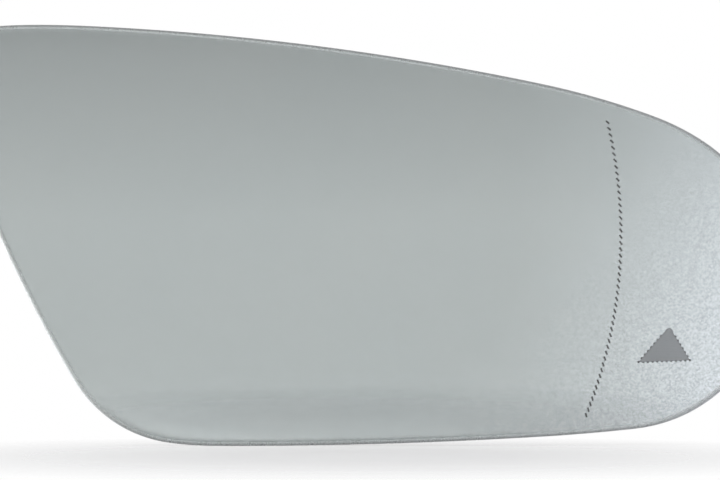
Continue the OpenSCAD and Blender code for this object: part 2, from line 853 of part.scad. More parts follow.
module indicator_leds() {
    body_t = led_t * 0.7;
    dome_r = led_size * 0.36;
    dome_top_r = dome_r * 0.7;
    color([0.95, 0.78, 0.35]) for (i = [0:led_count - 1])
        translate([sign_middle.x + (i - (led_count - 1) / 2) * led_pitch, board_front, sign_middle.y]) {
            translate([-led_size / 2, -body_t, -led_size / 2]) cube([led_size, body_t, led_size]);
            rotate([90, 0, 0]) cylinder(r1 = dome_r, r2 = dome_top_r, h = led_t);
        }
}

module board_parts() {
    first = case_at - [(resistor_count - 1) * resistor_pitch + resistor_l, board_h / 2 + resistor_w] / 2;
    color([0.08, 0.08, 0.09]) for (i = [0:resistor_count - 1])
        translate([first.x + i * resistor_pitch, board_front + board_t, first.y])
            cube([resistor_l, resistor_t, resistor_w]);
}

module pin_plan(grow) {
    for (s = [-1, 1]) translate([plug_x0 + s * pin_pitch / 2, pin_y])
        square(pin_w + 2 * grow, center = true);
}

module pin_legs(grow) {
    side = pin_w + 2 * grow;
    for (s = [-1, 1]) translate([plug_x0 + s * pin_pitch / 2 - side / 2, pin_y, leg_z - side / 2])
        cube([side, board_front + board_t + pin_tail - pin_y, side]);
}

module connector_pins() {
    color([0.83, 0.72, 0.40]) {
        upright(leg_z - pin_w / 2, case_top + plug_l - pin_tip) pin_plan(0);
        pin_legs(0);
    }
}

module indicator_gasket() {
    color([0.20, 0.20, 0.21]) slab(frame_y, case_y) frame_plan();
}

module screw() {
    slot_w = 0.9;
    slot_d = 1.1;
    slot_l = screw_head_r * 1.2;
    head_top_r = screw_head_r * 0.8;
    rotate([-90, 0, 0]) {
        translate([0, 0, -screw_l]) cylinder(r = screw_r, h = screw_l + lap);
        difference() {
            cylinder(r1 = screw_head_r, r2 = head_top_r, h = screw_head_t);
            for (turn = [0, 90]) rotate(turn) translate([-slot_l / 2, -slot_w / 2, screw_head_t - slot_d])
                cube([slot_l, slot_w, slot_d + past]);
        }
    }
}

module indicator_screws() {
    color([0.72, 0.73, 0.75]) ear_places_3d(case_y + ear_t) screw();
}

mirror_glass();
mirror_coating();
icon_film();
bonding_film();
heater_foil();
heater_track();
heater_terminal_inner();
heater_terminal_outer();
terminal_rivets();
carrier_tape();
carrier_plate();
indicator_housing();
indicator_lid();
light_guide();
indicator_board();
indicator_leds();
board_parts();
connector_pins();
indicator_gasket();
indicator_screws();
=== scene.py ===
from math import asin, ceil, cos, radians, sin, sqrt

import bmesh
import bpy
from mathutils import Matrix, Vector


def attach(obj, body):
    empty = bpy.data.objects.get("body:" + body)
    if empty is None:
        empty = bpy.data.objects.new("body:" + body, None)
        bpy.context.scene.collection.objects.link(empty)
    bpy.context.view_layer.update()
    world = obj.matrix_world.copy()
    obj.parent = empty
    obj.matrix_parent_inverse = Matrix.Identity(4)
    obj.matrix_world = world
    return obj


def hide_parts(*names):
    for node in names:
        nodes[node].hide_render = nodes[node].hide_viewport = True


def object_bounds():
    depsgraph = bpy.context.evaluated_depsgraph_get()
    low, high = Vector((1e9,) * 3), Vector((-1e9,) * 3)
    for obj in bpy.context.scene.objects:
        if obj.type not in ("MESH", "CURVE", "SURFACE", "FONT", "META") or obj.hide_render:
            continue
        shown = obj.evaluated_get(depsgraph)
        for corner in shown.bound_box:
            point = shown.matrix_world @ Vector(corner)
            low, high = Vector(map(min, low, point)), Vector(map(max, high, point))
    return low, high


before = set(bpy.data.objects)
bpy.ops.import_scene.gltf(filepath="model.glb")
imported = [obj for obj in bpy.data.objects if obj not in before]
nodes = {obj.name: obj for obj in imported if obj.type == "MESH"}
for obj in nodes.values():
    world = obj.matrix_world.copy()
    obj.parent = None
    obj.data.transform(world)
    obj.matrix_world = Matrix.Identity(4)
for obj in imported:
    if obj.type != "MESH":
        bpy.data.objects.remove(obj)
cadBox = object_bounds()
mm = 0.001
print("frame loaded with", len(nodes), "nodes")

# Camera, at the photograph's angle: level, square to the glass, a little right of its middle
view = {
    "aim": (0.48, -9.5, -1.2),  # mm, on the plane of the glass's edge
    "distance": 1100,  # mm
    "width": 180,  # mm across the picture at the aim
    "sensor": 36,  # mm
    "clipStart": 0.01,  # m
}
cameraData = bpy.data.cameras.new("camera")
cameraData.sensor_width = view["sensor"]
cameraData.lens = view["sensor"] * view["distance"] / view["width"]
cameraData.clip_start = view["clipStart"]
camera = bpy.data.objects.new("camera", cameraData)
camera.location = Vector(view["aim"]) * mm - Vector((0, view["distance"] * mm, 0))
camera.rotation_euler = (radians(90), 0, 0)
bpy.context.scene.collection.objects.link(camera)
bpy.context.scene.camera = camera
bpy.context.scene.view_settings.view_transform = "Standard"
print("camera placed")


# Shading helpers: lengths in mm, and a ramp is its start, its end and the values there

def fill(tree, node, inputs):
    for key, value in inputs.items():
        if isinstance(value, bpy.types.NodeSocket):
            tree.links.new(value, node.inputs[key])
        else:
            node.inputs[key].default_value = value


def addNode(tree, kind, inputs=None, **settings):
    node = tree.nodes.new(kind)
    for key, value in settings.items():
        setattr(node, key, value)
    fill(tree, node, inputs or {})
    return node


def newMaterial(name):
    material = bpy.data.materials.new(name)
    material.use_nodes = True
    return material, material.node_tree, material.node_tree.nodes["Principled BSDF"]


def inMillimetres(tree, stretch=(1, 1, 1), turn=(0, 0, 0)):
    place = addNode(tree, "ShaderNodeTexCoord").outputs["Object"]
    inputs = {"Vector": place, "Rotation": [radians(a) for a in turn], "Scale": [s / mm for s in stretch]}
    return addNode(tree, "ShaderNodeMapping", inputs).outputs["Vector"]


def grain(tree, vector, scale, detail=2.0, roughness=0.5):
    inputs = {"Vector": vector, "Scale": scale, "Detail": detail, "Roughness": roughness}
    return addNode(tree, "ShaderNodeTexNoise", inputs).outputs["Fac"]


def cells(tree, vector, scale, randomness=1.0):
    inputs = {"Vector": vector, "Scale": scale, "Randomness": randomness}
    return addNode(tree, "ShaderNodeTexVoronoi", inputs, feature="F1").outputs["Distance"]


def flakes(tree, vector, scale):
    inputs = {"Vector": vector, "Scale": scale}
    colour = addNode(tree, "ShaderNodeTexVoronoi", inputs, feature="F1").outputs["Color"]
    return addNode(tree, "ShaderNodeSeparateColor", {"Color": colour}).outputs["Red"]


def spread(tree, value, fromLow, fromHigh, toLow, toHigh):
    inputs = {"Value": value, "From Min": fromLow, "From Max": fromHigh, "To Min": toLow, "To Max": toHigh}
    return addNode(tree, "ShaderNodeMapRange", inputs, clamp=True).outputs["Result"]


def chain(tree, operation, values):
    total = values[0]
    for value in values[1:]:
        total = addNode(tree, "ShaderNodeMath", {0: total, 1: value}, operation=operation).outputs["Value"]
    return total


def blend(tree, factor, first, second):
    return addNode(tree, "ShaderNodeMix", {0: factor, 6: first, 7: second}, data_type="RGBA").outputs[2]


def shade(colour, factor=1.0):
    return [c * factor for c in colour] + [1.0]


def bump(tree, height, depth, strength=1.0, normal=None):
    inputs = {"Height": height, "Distance": depth * mm, "Strength": strength}
    if normal is not None:
        inputs["Normal"] = normal
    return addNode(tree, "ShaderNodeBump", inputs).outputs["Normal"]


# An edge is worn where the rounded normal turns away from the true one
wear = {"samples": 6, "ramp": (0.995, 0.8, 0.0, 1.0)}


def edgeWear(tree, radius):
    inputs = {"Radius": radius * mm}
    rounded = addNode(tree, "ShaderNodeBevel", inputs, samples=wear["samples"]).outputs["Normal"]
    true = addNode(tree, "ShaderNodeNewGeometry").outputs["Normal"]
    match = addNode(tree, "ShaderNodeVectorMath", {0: rounded, 1: true}, operation="DOT_PRODUCT")
    return rounded, spread(tree, match.outputs["Value"], *wear["ramp"])


# Finishes of the moulded, stamped, foamed and printed pieces

noise = (0.3, 0.7)  # where most of a noise lies
fullSpan = (*noise, 0.0, 1.0)


def mouldedPlastic(name, look):
    material, tree, shader = newMaterial(name)
    place = inMillimetres(tree)
    spark = grain(tree, place, look["spark"], detail=3.0, roughness=0.6)
    flow = grain(tree, inMillimetres(tree, look["flow"], look["flowTurn"]), 1.0, detail=4.0)
    normal, edge = edgeWear(tree, look["edgeRadius"])
    patches = spread(tree, grain(tree, place, look["patches"]), *look["patchRamp"])
    worn = chain(tree, "MULTIPLY", [edge, patches, look["wornShare"]])
    dark, light = shade(look["colour"], look["dark"]), shade(look["colour"], look["light"])
    tone = blend(tree, spread(tree, flow, *fullSpan), dark, light)
    # painted glint: the base colour is lighter where the spark texture peaks
    glint = chain(tree, "MULTIPLY", [spark, look["glintShare"]])
    tone = blend(tree, glint, tone, shade(look["colour"], look["glint"]))
    sparkGloss = spread(tree, spark, *look["sparkGloss"])
    flowGloss = spread(tree, flow, *look["flowGloss"])
    fill(tree, shader, {
        "Base Color": blend(tree, worn, tone, shade(look["wornColour"])),
        "Roughness": chain(tree, "ADD", [sparkGloss, flowGloss, look["roughness"]]),
        "Normal": bump(tree, spark, look["sparkDepth"], normal=normal),
        "IOR": look["ior"],
    })
    return material


def stampedMetal(name, look):
    material, tree, shader = newMaterial(name)
    lines = grain(tree, inMillimetres(tree, look["stretch"]), 1.0, detail=4.0, roughness=0.7)
    cloud = grain(tree, inMillimetres(tree), look["cloud"], detail=3.0)
    normal, edge = edgeWear(tree, look["edgeRadius"])
    tone = blend(tree, spread(tree, cloud, *look["cloudRamp"]), shade(look["colour"]), shade(look["tarnish"]))
    tone = blend(tree, spread(tree, lines, *look["lineRamp"]), tone, shade(look["colour"], look["lineLight"]))
    rubbed = chain(tree, "MULTIPLY", [edge, look["edgeShare"]])
    fill(tree, shader, {
        "Base Color": blend(tree, rubbed, tone, shade(look["colour"], look["edgeLight"])),
        "Roughness": chain(tree, "ADD", [spread(tree, lines, *look["lineGloss"]), look["roughness"]]),
        "Normal": bump(tree, lines, look["lineDepth"], strength=0.6, normal=normal),
        "Metallic": 1.0,
    })
    return material


def softFoam(name, look):
    material, tree, shader = newMaterial(name)
    place = inMillimetres(tree)
    pores = cells(tree, place, look["pores"])
    cloud = grain(tree, place, look["cloud"], detail=4.0)
    dark, light = shade(look["colour"], look["dark"]), shade(look["colour"], look["light"])
    # painted shade: the pore hollows are coloured darker and the rims between them lighter
    tone = blend(tree, spread(tree, pores, *look["poreShadeRamp"]), dark, light)
    dusty = chain(tree, "MULTIPLY", [cloud, look["dustShare"]])
    fill(tree, shader, {
        "Base Color": blend(tree, dusty, tone, shade(look["colour"], look["dust"])),
        "Roughness": spread(tree, cloud, *look["gloss"]),
        "Normal": bump(tree, pores, look["poreDepth"], strength=0.8),
    })
    return material


# The triangular window: corners clockwise from the tip's left, and the round tip, in mm
sign = {
    "corners": ((77.25, -23.4), (78.08, -23.4), (82.97, -31.26), (70.08, -31.69)),
    "tip": (77.755, -24.225), "tipRadius": 1.0, "tipSides": 40,
    "dotPitch": 1.2, "dotRadius": 0.31, "dotSides": 16,
    "rim": 0.03, "rimSoft": 0.03,  # the grey print stops this far inside the window's edge
}


def insideSign(tree):
    place = inMillimetres(tree, (1, 0, 1))
    ends = sign["corners"][1:] + sign["corners"][:1]
    sides = []
    for (x, z), (nextX, nextZ) in zip(sign["corners"], ends):
        along = Vector((nextX - x, 0, nextZ - z)).normalized()
        out = (-along.z, 0, along.x)
        far = addNode(tree, "ShaderNodeVectorMath", {0: place, 1: out}, operation="DOT_PRODUCT")
        sides.append(chain(tree, "SUBTRACT", [far.outputs["Value"], x * out[0] + z * out[2]]))
    tipAt = (sign["tip"][0], 0, sign["tip"][1])
    fromTip = addNode(tree, "ShaderNodeVectorMath", {0: place, 1: tipAt}, operation="DISTANCE")
    pastTip = chain(tree, "SUBTRACT", [fromTip.outputs["Value"], sign["tipRadius"]])
    outside = chain(tree, "MINIMUM", [chain(tree, "MAXIMUM", sides), pastTip])
    return spread(tree, outside, -sign["rim"] - sign["rimSoft"], -sign["rim"] + sign["rimSoft"], 1.0, 0.0)


def printedFilm(name, look):
    material, tree, shader = newMaterial(name)
    place = inMillimetres(tree, (1, 0, 1), look["turn"])
    rows = addNode(tree, "ShaderNodeTexWave", {
        "Vector": place, "Scale": look["rows"], "Distortion": look["waver"],
        "Detail": 2.0, "Detail Scale": 2.0,
    }, wave_type="BANDS", bands_direction="Z").outputs["Fac"]
    dots = cells(tree, place, look["dots"], look["scatter"])
    speck = grain(tree, place, look["specks"], detail=3.0, roughness=0.7)
    tone = blend(tree, spread(tree, dots, *look["dotRamp"]), shade(look["colour"]), shade(look["dotColour"]))
    tone = blend(tree, chain(tree, "MULTIPLY", [rows, look["rowShare"]]), tone, shade(look["rowColour"]))
    if "windowColour" in look:  # grey print round the window
        tone = blend(tree, insideSign(tree), tone, shade(look["windowColour"]))
    light = shade(look["colour"], look["speckLight"])
    low, high = look["roughness"] - look["roughSwing"], look["roughness"] + look["roughSwing"]
    fill(tree, shader, {
        "Base Color": blend(tree, spread(tree, speck, *look["speckRamp"]), tone, light),
        "Roughness": spread(tree, speck, *noise, low, high),
        "Normal": bump(tree, chain(tree, "ADD", [rows, speck]), look["relief"], strength=0.5),
        "Metallic": look["metallic"],
    })
    return material


def milkyPlastic(name, look):
    material, tree, shader = newMaterial(name)
    place = inMillimetres(tree)
    cloud = grain(tree, place, look["cloud"], detail=5.0)
    specks = cells(tree, place, look["specks"])
    tone = blend(tree, spread(tree, cloud, *fullSpan), shade(look["colour"]), shade(look["deepColour"]))
    low, high = look["roughness"] + look["roughLow"], look["roughness"] + look["roughHigh"]
    fill(tree, shader, {
        "Base Color": blend(tree, spread(tree, specks, *look["speckRamp"]), tone, (1, 1, 1, 1)),
        "Roughness": spread(tree, cloud, *noise, low, high),
        "Normal": bump(tree, cloud, look["relief"], strength=0.4),
        "Transmission Weight": look["clear"],
    })
    return material


anyPlastic = {
    "flow": (0.03, 0.03, 0.012), "flowTurn": (0, 12, 0), "dark": 0.82, "light": 1.2,
    "glint": 1.5, "glintShare": 0.35, "patches": 0.35, "patchRamp": (0.35, 0.7, 0.2, 1.0), "wornShare": 0.6,
    "sparkGloss": (*noise, -0.06, 0.06), "flowGloss": (*noise, -0.03, 0.03), "ior": 1.52,
}
plastics = {
    "carrier_plate": {
        "colour": (0.030, 0.030, 0.032), "wornColour": (0.085, 0.085, 0.088), "roughness": 0.50,
        "spark": 3.2, "sparkDepth": 0.035, "edgeRadius": 0.35,
    },
    "indicator_housing": {
        "colour": (0.036, 0.036, 0.039), "wornColour": (0.09, 0.09, 0.095), "roughness": 0.42,
        "spark": 5.0, "sparkDepth": 0.018, "edgeRadius": 0.3,
    },
    "indicator_lid": {
        "colour": (0.042, 0.042, 0.046), "wornColour": (0.10, 0.10, 0.105), "roughness": 0.30,
        "spark": 7.0, "sparkDepth": 0.010, "edgeRadius": 0.3,
    },
}
anyMetal = {
    "cloud": 0.6, "cloudRamp": (0.35, 0.65, 0.0, 1.0), "lineRamp": (0.35, 0.7, 0.0, 0.35), "lineLight": 1.25,
    "lineGloss": (*noise, -0.07, 0.09), "edgeLight": 1.3, "edgeShare": 0.5,
}
blade = {
    "colour": (0.74, 0.56, 0.25), "tarnish": (0.56, 0.38, 0.16), "roughness": 0.26,
    "stretch": (7, 0.5, 7), "lineDepth": 0.010, "edgeRadius": 0.12,
}
metals = {
    "heater_terminal_inner": blade,
    "heater_terminal_outer": blade,
    "terminal_rivets": {
        "colour": (0.80, 0.66, 0.36), "tarnish": (0.62, 0.46, 0.22), "roughness": 0.30,
        "stretch": (3, 3, 3), "lineDepth": 0.015, "edgeRadius": 0.15,
    },
    "connector_pins": {
        "colour": (0.80, 0.74, 0.58), "tarnish": (0.66, 0.60, 0.46), "roughness": 0.24,
        "stretch": (8, 8, 0.6), "lineDepth": 0.006, "edgeRadius": 0.08,
    },
    "indicator_screws": {
        "colour": (0.62, 0.63, 0.65), "tarnish": (0.50, 0.50, 0.47), "roughness": 0.32,
        "stretch": (2.5, 2.5, 2.5), "lineDepth": 0.012, "edgeRadius": 0.2,
    },
}
anyFoam = {
    "cloud": 0.8, "poreShadeRamp": (0.1, 0.6, 0.0, 1.0), "dark": 0.6, "light": 1.35,
    "dust": 1.7, "dustShare": 0.4, "gloss": (*noise, 0.78, 0.92),
}
foams = {
    "carrier_tape": {"colour": (0.050, 0.050, 0.055), "pores": 5.0, "poreDepth": 0.05},
    "indicator_gasket": {"colour": (0.045, 0.045, 0.048), "pores": 3.5, "poreDepth": 0.08},
}
anyFilm = {
    "specks": 4.0, "speckRamp": (0.4, 0.75, 0.0, 0.3), "speckLight": 1.25, "dotRamp": (0.22, 0.34, 1.0, 0.0),
    "roughSwing": 0.06, "turn": (0, 0, 0), "metallic": 0.0,
}
films = {
    "icon_film": {
        "colour": (0.345, 0.355, 0.37), "dotColour": (0.31, 0.32, 0.335), "rowColour": (0.375, 0.385, 0.40),
        "rowShare": 0.35, "rows": 0.45, "waver": 0.0, "dots": 1.6, "scatter": 0.0, "turn": (0, -2, 0),
        "roughness": 0.5, "relief": 0.01,
    },
    "bonding_film": {
        "colour": (0.016, 0.016, 0.018), "dotColour": (0.010, 0.010, 0.012), "rowColour": (0.03, 0.03, 0.032),
        "windowColour": (0.345, 0.355, 0.37), "rowShare": 0.25, "rows": 0.3, "waver": 1.0, "dots": 2.0,
        "scatter": 1.0, "roughness": 0.45, "relief": 0.01,
    },
    "heater_foil": {
        "colour": (0.55, 0.40, 0.18), "dotColour": (0.48, 0.33, 0.13), "rowColour": (0.64, 0.49, 0.25),
        "rowShare": 0.4, "rows": 0.5, "waver": 0.6, "dots": 1.2, "scatter": 1.0, "turn": (0, 45, 0),
        "roughness": 0.3, "relief": 0.02,
    },
    "heater_track": {
        "colour": (0.62, 0.36, 0.20), "dotColour": (0.50, 0.27, 0.14), "rowColour": (0.74, 0.48, 0.30),
        "rowShare": 0.4, "rows": 1.5, "waver": 0.8, "dots": 3.0, "scatter": 1.0,
        "roughness": 0.38, "relief": 0.02, "metallic": 0.9,
    },
    "indicator_board": {
        "colour": (0.022, 0.15, 0.062), "dotColour": (0.015, 0.09, 0.04), "rowColour": (0.05, 0.24, 0.10),
        "rowShare": 0.5, "rows": 0.25, "waver": 2.0, "dots": 0.9, "scatter": 0.6,
        "roughness": 0.32, "relief": 0.03,
    },
    "board_parts": {
        "colour": (0.03, 0.03, 0.032), "dotColour": (0.05, 0.05, 0.05), "rowColour": (0.10, 0.10, 0.10),
        "rowShare": 0.3, "rows": 0.5, "waver": 0.2, "dots": 4.0, "scatter": 1.0, "turn": (0, 90, 0),
        "roughness": 0.4, "relief": 0.01,
    },
}
anyMilky = {"speckRamp": (0.05, 0.2, 0.25, 0.0), "roughLow": -0.05, "roughHigh": 0.08, "relief": 0.03}
milky = {
    "light_guide": {
        "colour": (0.80, 0.80, 0.77), "deepColour": (0.70, 0.71, 0.69), "cloud": 0.4, "specks": 3.0,
        "roughness": 0.22, "clear": 0.35,
    },
    "indicator_leds": {
        "colour": (0.85, 0.62, 0.18), "deepColour": (0.70, 0.46, 0.08), "cloud": 1.5, "specks": 6.0,
        "roughness": 0.35, "clear": 0.0,
    },
}
for finish, shared, looks in (
    (mouldedPlastic, anyPlastic, plastics), (stampedMetal, anyMetal, metals), (softFoam, anyFoam, foams),
    (printedFilm, anyFilm, films), (milkyPlastic, anyMilky, milky),
):
    for name, look in looks.items():
        mesh = nodes[name].data
        mesh.materials.clear()
        mesh.materials.append(finish(name + "Finish", {**shared, **look}))
print("CAD nodes finished in their materials")


# Glass pane and reflecting layer: flat plates, bent to the face once they are cut and bevelled

outline = {
    "crown": (-81.358, 52.65),  # mm, the highest point
    "arcs": [
        (287, 2.8), (725.814, 9), (203, 8.4), (60, 13.9), (39.181, 139.7), (466, 2.8),
        (1342.15, 3.5), (94, 7.2), (33, 52.2), (361.448, 12.6), (12, 102.6), (131, 5.3),
    ],  # clockwise from the crown: radius in mm, turn in degrees
    "stepTurn": 3.0, "stepLength": 2.2,  # the longest step along an arc, in degrees and in mm
    "merge": 0.01,
}
face = {
    "frontY": -13.05,  # mm, where the ball's foremost point lies
    "radius": 1250.0,
    "endRadius": 599.75,  # outwards of the row of dashes
    "lineX": 65.744,  # where the one radius gives way to the other
}


def onlyVerts(geometry):
    return [g for g in geometry if isinstance(g, bmesh.types.BMVert)]


def outlineLoop(bm, inset):
    x, z = outline["crown"]
    last = bm.verts.new(Vector((x, 0, z - inset)) * mm)
    heading = 0
    for radius, turn in outline["arcs"]:
        centre = last.co - (radius - inset) * mm * Vector((sin(heading), 0, cos(heading)))
        steps = ceil(max(turn / outline["stepTurn"], radius * radians(turn) / outline["stepLength"]))
        spun = bmesh.ops.spin(bm, geom=[last], cent=centre, axis=(0, 1, 0), angle=radians(turn), steps=steps)
        last = onlyVerts(spun["geom_last"])[0]
        heading += radians(turn)
    bmesh.ops.remove_doubles(bm, verts=bm.verts, dist=outline["merge"] * mm)
    return bm.edges[:]


def flatPlate(inset, thickness, rings):
    bm = bmesh.new()
    loop = outlineLoop(bm, inset)
    for ring in range(rings, 1, -1):  # each ring a step nearer the middle
        grown = bmesh.ops.extrude_edge_only(bm, edges=loop)["geom"]
        verts = onlyVerts(grown)
        fresh = set(verts)
        loop = [g for g in grown if isinstance(g, bmesh.types.BMEdge) and fresh.issuperset(g.verts)]
        share = (ring - 1) / ring
        bmesh.ops.scale(bm, vec=(share, 1, share), verts=verts)
    middle = bmesh.ops.edgeloop_fill(bm, edges=loop)["faces"]
    bmesh.ops.poke(bm, faces=middle)
    bmesh.ops.recalc_face_normals(bm, faces=bm.faces)
    bmesh.ops.solidify(bm, geom=bm.faces, thickness=thickness * mm)
    low = min(v.co.y for v in bm.verts)
    bmesh.ops.translate(bm, vec=(0, -low, 0), verts=bm.verts)
    bmesh.ops.recalc_face_normals(bm, faces=bm.faces)
    return bm


def bendToFace(bm, depth):
    ballY = face["frontY"] + face["radius"]
    bendAngle = asin(face["lineX"] / face["radius"])
    endX = (face["radius"] - face["endRadius"]) * sin(bendAngle)
    endOut = (face["radius"] - face["endRadius"]) * cos(bendAngle)
    for v in bm.verts:
        x, z, d = v.co.x / mm, v.co.z / mm, v.co.y / mm + depth
        if x < (face["radius"] - d) * sin(bendAngle):
            reach = sqrt((face["radius"] - d) ** 2 - x * x)
        else:
            reach = endOut + sqrt((face["endRadius"] - d) ** 2 - (x - endX) ** 2)
        v.co.y = (ballY - sqrt(reach * reach - z * z)) * mm


def newPiece(bm, name, materials, node):
    mesh = bpy.data.meshes.new(name)
    bm.to_mesh(mesh)
    bm.free()
    piece = bpy.data.objects.new(name, mesh)
    bpy.context.scene.collection.objects.link(piece)
    for material in materials:
        mesh.materials.append(material)
    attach(piece, "root")
    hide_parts(node)
    return piece


pane = {
    "thickness": 2.0, "rings": 30, "frontBevel": 1.0, "backBevel": 0.3, "bevelSteps": 5,
    "near": 0.001,  # mm, how close to a face's plane its rim lies
    "rimAngle": 1.0,  # radians, least angle between the faces at the rim
    "flatNormal": 0.995,  # a face that looks less squarely forwards or backwards is ground
    "evenWeight": 80,
}
glassLook = {
    "colour": (0.965, 0.985, 0.975), "ior": 1.52,
    "smears": (0.05, 0.05, 0.02), "smearTurn": (0, 35, 0), "smearRamp": (0.45, 0.8, 0.0, 0.03),
    "waver": (0.02, 0.02, 0.006), "waverDepth": 0.002,
}
edgeLook = {
    "colour": (0.86, 0.89, 0.875), "brightColour": (0.94, 0.96, 0.95), "clear": 0.8, "ior": glassLook["ior"],
    "grit": 6.0, "gritRamp": (0.35, 0.65, 0.0, 1.0), "gritDepth": 0.01, "bands": 0.25,
    "roughness": 0.28, "gritGloss": (*noise, -0.08, 0.08), "bandGloss": (*noise, -0.06, 0.06),
}


def clearGlass(look):
    material, tree, shader = newMaterial("clearGlass")
    place = inMillimetres(tree, look["smears"], look["smearTurn"])
    smears = grain(tree, place, 1.0, detail=5.0, roughness=0.6)
    waver = grain(tree, inMillimetres(tree, look["waver"]), 1.0, detail=1.0)
    fill(tree, shader, {
        "Base Color": shade(look["colour"]),
        "Roughness": spread(tree, smears, *look["smearRamp"]),
        "Normal": bump(tree, waver, look["waverDepth"]),
        "Transmission Weight": 1.0,
        "IOR": look["ior"],
    })
    return material


def groundEdge(look):
    material, tree, shader = newMaterial("groundEdge")
    place = inMillimetres(tree)
    grit = grain(tree, place, look["grit"], detail=4.0, roughness=0.7)
    bands = grain(tree, place, look["bands"], detail=3.0)
    bright = spread(tree, grit, *look["gritRamp"])
    gritGloss = spread(tree, grit, *look["gritGloss"])
    bandGloss = spread(tree, bands, *look["bandGloss"])
    fill(tree, shader, {
        "Base Color": blend(tree, bright, shade(look["colour"]), shade(look["brightColour"])),
        "Roughness": chain(tree, "ADD", [gritGloss, bandGloss, look["roughness"]]),
        "Normal": bump(tree, grit, look["gritDepth"], strength=0.7),
        "Transmission Weight": look["clear"],
        "IOR": look["ior"],
    })
    return material


glass = flatPlate(0, pane["thickness"], pane["rings"])
for side, width in ((0, pane["frontBevel"]), (pane["thickness"], pane["backBevel"])):
    rim = [
        e for e in glass.edges if e.calc_face_angle(0) > pane["rimAngle"]
        and all(abs(v.co.y - side * mm) < pane["near"] * mm for v in e.verts)
    ]
    bmesh.ops.bevel(glass, geom=rim, offset=width * mm, segments=pane["bevelSteps"], profile=0.5,
                    affect="EDGES", material=-1)
for f in glass.faces:
    f.smooth = True
    f.material_index = 0 if abs(f.normal.y) > pane["flatNormal"] else 1
bendToFace(glass, 0)
glassMaterials = [clearGlass(glassLook), groundEdge(edgeLook)]
glassPane = newPiece(glass, "glassPane", glassMaterials, "mirror_glass")
evenNormals = glassPane.modifiers.new("evenNormals", "WEIGHTED_NORMAL")
evenNormals.weight = pane["evenWeight"]
print("glass pane made:", len(glassPane.data.polygons), "faces")


layer = {
    "inset": 0.4, "thickness": 0.1, "rings": 44,
    "gap": 0.004,  # mm, just clear of the pane, so that their facets never cross
    "sharpAngle": 0.5,  # radians, least angle of an edge that isn't smoothed
}
layerLook = {
    "colour": (0.435, 0.460, 0.468), "otherColour": (0.447, 0.468, 0.474), "cloud": (0.03, 0.03, 0.03),
    "roughness": 0.06, "outerRoughness": 0.12,
    "grainLean": 0.8, "grainFrom": 50, "grainTo": 130,  # the grain sets in towards the outer, lower end
    "flakes": 2.7, "flakeColour": (0.690, 0.690, 0.716), "flakeRamp": (0.0, 1.0, -0.08, 0.88),
    "ripple": 3.2, "rippleDepth": 0.0010,
}
dashes = {
    "count": 49, "length": 1.12, "width": 0.46, "slant": 36,  # mm and degrees
    "radius": 121.26, "x": 65.634, "z": 0.086, "up": 13.4, "down": 21.8,  # the row's arc
    "crowd": 0.052,  # a little closer together towards the lower end
}


def reflectingLayer(look):
    material, tree, shader = newMaterial("reflectingLayer")
    place = inMillimetres(tree)
    parts = addNode(tree, "ShaderNodeSeparateXYZ", {"Vector": place})
    lean = chain(tree, "MULTIPLY", [parts.outputs["Z"], look["grainLean"]])
    along = chain(tree, "SUBTRACT", [parts.outputs["X"], lean])
    outer = spread(tree, along, look["grainFrom"], look["grainTo"], 0.0, 1.0)
    ripple = grain(tree, place, look["ripple"], detail=3.0, roughness=0.7)
    cloud = grain(tree, inMillimetres(tree, look["cloud"]), 1.0, detail=4.0)
    tone = blend(tree, spread(tree, cloud, *fullSpan), shade(look["colour"]), shade(look["otherColour"]))
    bright = spread(tree, flakes(tree, place, look["flakes"]), *look["flakeRamp"])
    tone = blend(tree, chain(tree, "MULTIPLY", [outer, bright]), tone, shade(look["flakeColour"]))
    rough = chain(tree, "MULTIPLY", [outer, look["outerRoughness"]])
    rippled = chain(tree, "MULTIPLY", [ripple, outer])
    fill(tree, shader, {
        "Base Color": tone,
        "Roughness": chain(tree, "ADD", [rough, look["roughness"]]),
        "Normal": bump(tree, rippled, look["rippleDepth"], strength=0.4),
        "Metallic": 1.0,
    })
    return material


# The dashes, the triangle and its dots are cut out of the layer while it is flat

def dashCutter():
    bm = bmesh.new()
    for index in range(dashes["count"]):
        share = index / (dashes["count"] - 1)
        share += dashes["crowd"] * share * (1 - share)
        turn = radians(dashes["up"] - (dashes["up"] + dashes["down"]) * share)
        tilt = Matrix.Rotation(-turn - radians(dashes["slant"]), 3, "Y")
        x = dashes["x"] + dashes["radius"] * (cos(turn) - 1)
        z = dashes["z"] + dashes["radius"] * sin(turn)
        made = bmesh.ops.create_cube(bm, size=mm)["verts"]
        bmesh.ops.scale(bm, vec=(dashes["width"], 1, dashes["length"]), verts=made)
        bmesh.ops.rotate(bm, cent=(0, 0, 0), matrix=tilt, verts=made)
        bmesh.ops.translate(bm, vec=Vector((x, 0, z)) * mm, verts=made)
    return bm


def signCutter():
    bm = bmesh.new()
    corners = [bm.verts.new(Vector((x, -1, z)) * mm) for x, z in sign["corners"]]
    flat = bmesh.ops.contextual_create(bm, geom=corners)["faces"]
    raised = bmesh.ops.extrude_face_region(bm, geom=flat)["geom"]
    bmesh.ops.translate(bm, vec=(0, 2 * mm, 0), verts=onlyVerts(raised))
    bmesh.ops.recalc_face_normals(bm, faces=bm.faces)
    return bm


def addDisc(bm, place, radius, sides):
    upright = Matrix.Translation(place) @ Matrix.Rotation(radians(90), 4, "X")
    bmesh.ops.create_cone(bm, cap_ends=True, segments=sides, radius1=radius * mm, radius2=radius * mm,
                          depth=mm, matrix=upright)


